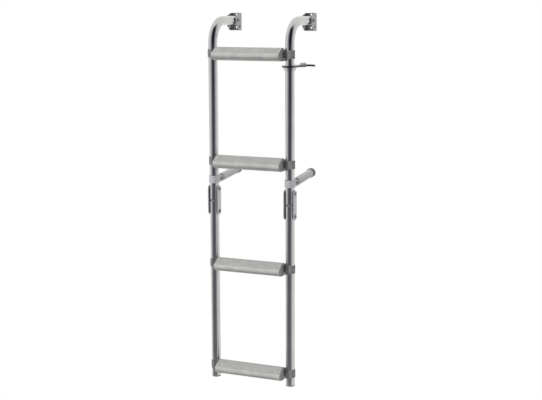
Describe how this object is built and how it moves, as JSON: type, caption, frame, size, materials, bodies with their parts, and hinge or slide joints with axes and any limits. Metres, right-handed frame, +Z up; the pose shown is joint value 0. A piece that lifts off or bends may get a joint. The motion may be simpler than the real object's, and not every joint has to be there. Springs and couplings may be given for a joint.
{
  "type": "folding boarding ladder",
  "caption": "Folding boarding ladder of bent stainless tube with moulded treads, a mid-height fold hinge, hook-over ends in wall brackets, stand-off arms and a swing latch.",
  "frame": {"origin": "on the back face of the left wall bracket, level with the axis of the tube in it", "axes": "+Z up, +Y into the wall that carries the ladder, +X from the left stile to the right one"},
  "size_m": [0.2894, 0.19, 1.004],
  "materials": {
    "tube_steel": "polished stainless tube",
    "formed_steel": "formed stainless sheet, bright",
    "cast_steel": "polished stainless casting",
    "bolt_steel": "plain stainless fasteners",
    "tread_plastic": "moulded light grey, ribbed on top",
    "arm_plastic": "moulded pale grey sleeve",
    "dark_rubber": "dark grey rubber"
  },
  "bodies": {
    "brackets": {"bracket_left": "formed_steel", "bracket_right": "formed_steel", "bracket_pin_left": "bolt_steel", "bracket_pin_right": "bolt_steel"},
    "upper_section": {"upper_stile_left": "tube_steel", "upper_stile_right": "tube_steel", "tread_1": "tread_plastic", "tread_2": "tread_plastic", "tread_bolt_1_left": "bolt_steel", "tread_bolt_1_right": "bolt_steel", "tread_bolt_2_left": "bolt_steel", "tread_bolt_2_right": "bolt_steel", "standoff_clamp_left": "cast_steel", "standoff_clamp_right": "cast_steel", "standoff_pin_left": "bolt_steel", "standoff_pin_right": "bolt_steel", "latch_collar": "dark_rubber"},
    "standoff_left": {"standoff_arm_left": "arm_plastic", "standoff_pad_left": "dark_rubber"},
    "standoff_right": {"standoff_arm_right": "arm_plastic", "standoff_pad_right": "dark_rubber"},
    "hinge_links": {"hinge_cheek_left_outer": "formed_steel", "hinge_cheek_left_inner": "formed_steel", "hinge_cheek_right_outer": "formed_steel", "hinge_cheek_right_inner": "formed_steel", "hinge_bolt_upper_left": "bolt_steel", "hinge_bolt_upper_right": "bolt_steel", "hinge_bolt_lower_left": "bolt_steel", "hinge_bolt_lower_right": "bolt_steel"},
    "lower_section": {"lower_stile_left": "tube_steel", "lower_stile_right": "tube_steel", "tread_3": "tread_plastic", "tread_4": "tread_plastic", "tread_bolt_3_left": "bolt_steel", "tread_bolt_3_right": "bolt_steel", "tread_bolt_4_left": "bolt_steel", "tread_bolt_4_right": "bolt_steel", "foot_plug_left": "dark_rubber", "foot_plug_right": "dark_rubber"},
    "latch": {"latch_plate": "formed_steel", "latch_knob": "bolt_steel"}
  },
  "joints": [
    {"name": "bracket_swing", "type": "hinge", "parent": "brackets", "child": "upper_section", "pos_m": [0.1125, -0.025, 0], "axis": [-1, 0, 0], "range_deg": [0, 90]},
    {"name": "link_fold", "type": "hinge", "parent": "upper_section", "child": "hinge_links", "pos_m": [0.1125, -0.15, -0.453], "axis": [-1, 0, 0], "range_deg": [0, 90]},
    {"name": "lower_fold", "type": "hinge", "parent": "hinge_links", "child": "lower_section", "pos_m": [0.1125, -0.15, -0.514], "axis": [-1, 0, 0], "range_deg": [0, 90]},
    {"name": "standoff_fold_left", "type": "hinge", "parent": "upper_section", "child": "standoff_left", "pos_m": [0, -0.12, -0.428], "axis": [1, 0, 0], "range_deg": [0, 84]},
    {"name": "standoff_fold_right", "type": "hinge", "parent": "upper_section", "child": "standoff_right", "pos_m": [0.225, -0.12, -0.428], "axis": [1, 0, 0], "range_deg": [0, 84]},
    {"name": "latch_swing", "type": "hinge", "parent": "upper_section", "child": "latch", "pos_m": [0.225, -0.15, -0.1165], "axis": [0, 0, -1], "range_deg": [0, 150]}
  ]
}
